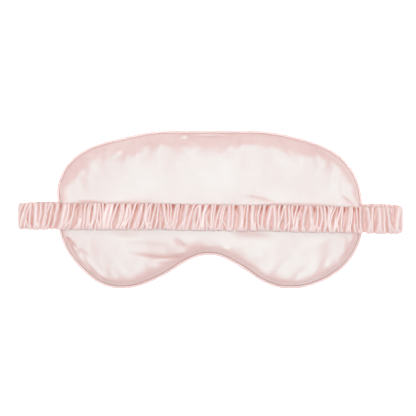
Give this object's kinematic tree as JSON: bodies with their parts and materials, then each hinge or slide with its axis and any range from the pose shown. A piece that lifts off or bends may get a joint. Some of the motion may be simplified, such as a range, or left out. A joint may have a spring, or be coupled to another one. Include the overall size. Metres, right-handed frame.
{
  "type": "sleep eye mask",
  "caption": "Padded satin sleep mask with a nose notch, piped edge and gathered elastic strap folded across its back.",
  "frame": {"origin": "under the middle of the mask, on the surface that its front lies on", "axes": "+X along the mask's width, +Y from the nose notch to the brow, +Z from the front up to the face side and the strap"},
  "size_m": [0.2648, 0.1086, 0.0134],
  "materials": {
    "satin": "pale pink satin, glossy",
    "piping_satin": "pale pink satin bias piping",
    "gathered_satin": "gathered salmon pink satin",
    "piping_core": "cotton cord",
    "wadding": "polyester wadding",
    "blackout_cotton": "black cotton",
    "sewing_thread": "polyester thread",
    "elastic": "woven rubber elastic"
  },
  "bodies": {
    "mask": {"front_panel": "satin", "back_panel": "satin", "front_wadding": "wadding", "back_wadding": "wadding", "blackout_interlining": "blackout_cotton", "piping_cover": "piping_satin", "piping_cord": "piping_core", "seam_overlock": "sewing_thread", "closing_stitches": "sewing_thread", "left_strap_root": "gathered_satin", "left_strap_tack": "sewing_thread", "right_strap_root": "gathered_satin", "right_strap_tack": "sewing_thread"},
    "left_tab": {"left_tab_casing": "gathered_satin", "left_tab_elastic": "elastic"},
    "left_fold": {"left_fold_casing": "gathered_satin", "left_fold_elastic": "elastic"},
    "left_band_1": {"left_band_1_casing": "gathered_satin", "left_band_1_elastic": "elastic"},
    "left_band_2": {"left_band_2_casing": "gathered_satin", "left_band_2_elastic": "elastic"},
    "left_band_3": {"left_band_3_casing": "gathered_satin", "left_band_3_elastic": "elastic"},
    "left_band_4": {"left_band_4_casing": "gathered_satin", "left_band_4_elastic": "elastic"},
    "right_tab": {"right_tab_casing": "gathered_satin", "right_tab_elastic": "elastic"},
    "right_fold": {"right_fold_casing": "gathered_satin", "right_fold_elastic": "elastic"},
    "right_band_1": {"right_band_1_casing": "gathered_satin", "right_band_1_elastic": "elastic"},
    "right_band_2": {"right_band_2_casing": "gathered_satin", "right_band_2_elastic": "elastic"},
    "right_band_3": {"right_band_3_casing": "gathered_satin", "right_band_3_elastic": "elastic"},
    "right_band_4": {"right_band_4_casing": "gathered_satin", "right_band_4_elastic": "elastic"}
  },
  "joints": [
    {"name": "left_seam", "type": "hinge", "parent": "mask", "child": "left_tab", "pos_m": [-0.1059, -0.0058, 0.00765], "axis": [0, 1, 0], "range_deg": [0, 88]},
    {"name": "left_lower_fold", "type": "hinge", "parent": "left_tab", "child": "left_fold", "pos_m": [-0.13107, -0.0058, 0.00508], "axis": [0, -1, 0], "range_deg": [0, 74.01]},
    {"name": "left_upper_fold", "type": "hinge", "parent": "left_fold", "child": "left_band_1", "pos_m": [-0.13107, -0.0058, 0.01197], "axis": [0, -1, 0], "range_deg": [0, 74.01]},
    {"name": "left_outer_band", "type": "hinge", "parent": "left_band_1", "child": "left_band_2", "pos_m": [-0.096, -0.0058, 0.0098], "axis": [0, 1, 0], "range_deg": [0, 24.02]},
    {"name": "left_middle_band", "type": "hinge", "parent": "left_band_2", "child": "left_band_3", "pos_m": [-0.064, -0.0058, 0.0098], "axis": [0, 1, 0], "range_deg": [0, 17.6]},
    {"name": "left_inner_band", "type": "hinge", "parent": "left_band_3", "child": "left_band_4", "pos_m": [-0.032, -0.0058, 0.0098], "axis": [0, 1, 0], "range_deg": [0, 18.39]},
    {"name": "right_seam", "type": "hinge", "parent": "mask", "child": "right_tab", "pos_m": [0.1059, -0.0058, 0.00765], "axis": [0, -1, 0], "range_deg": [0, 88]},
    {"name": "right_lower_fold", "type": "hinge", "parent": "right_tab", "child": "right_fold", "pos_m": [0.13107, -0.0058, 0.00508], "axis": [0, 1, 0], "range_deg": [0, 74.01]},
    {"name": "right_upper_fold", "type": "hinge", "parent": "right_fold", "child": "right_band_1", "pos_m": [0.13107, -0.0058, 0.01197], "axis": [0, 1, 0], "range_deg": [0, 74.01]},
    {"name": "right_outer_band", "type": "hinge", "parent": "right_band_1", "child": "right_band_2", "pos_m": [0.096, -0.0058, 0.0098], "axis": [0, -1, 0], "range_deg": [0, 24.02]},
    {"name": "right_middle_band", "type": "hinge", "parent": "right_band_2", "child": "right_band_3", "pos_m": [0.064, -0.0058, 0.0098], "axis": [0, -1, 0], "range_deg": [0, 17.6]},
    {"name": "right_inner_band", "type": "hinge", "parent": "right_band_3", "child": "right_band_4", "pos_m": [0.032, -0.0058, 0.0098], "axis": [0, -1, 0], "range_deg": [0, 18.39]}
  ],
  "couplings": [
    {"joint": "left_lower_fold", "follows": "left_seam", "ratio": 0.841},
    {"joint": "left_upper_fold", "follows": "left_seam", "ratio": 0.841},
    {"joint": "left_outer_band", "follows": "left_seam", "ratio": 0.273},
    {"joint": "left_middle_band", "follows": "left_seam", "ratio": 0.2},
    {"joint": "left_inner_band", "follows": "left_seam", "ratio": 0.209},
    {"joint": "right_seam", "follows": "left_seam", "ratio": 1},
    {"joint": "right_lower_fold", "follows": "left_seam", "ratio": 0.841},
    {"joint": "right_upper_fold", "follows": "left_seam", "ratio": 0.841},
    {"joint": "right_outer_band", "follows": "left_seam", "ratio": 0.273},
    {"joint": "right_middle_band", "follows": "left_seam", "ratio": 0.2},
    {"joint": "right_inner_band", "follows": "left_seam", "ratio": 0.209}
  ]
}
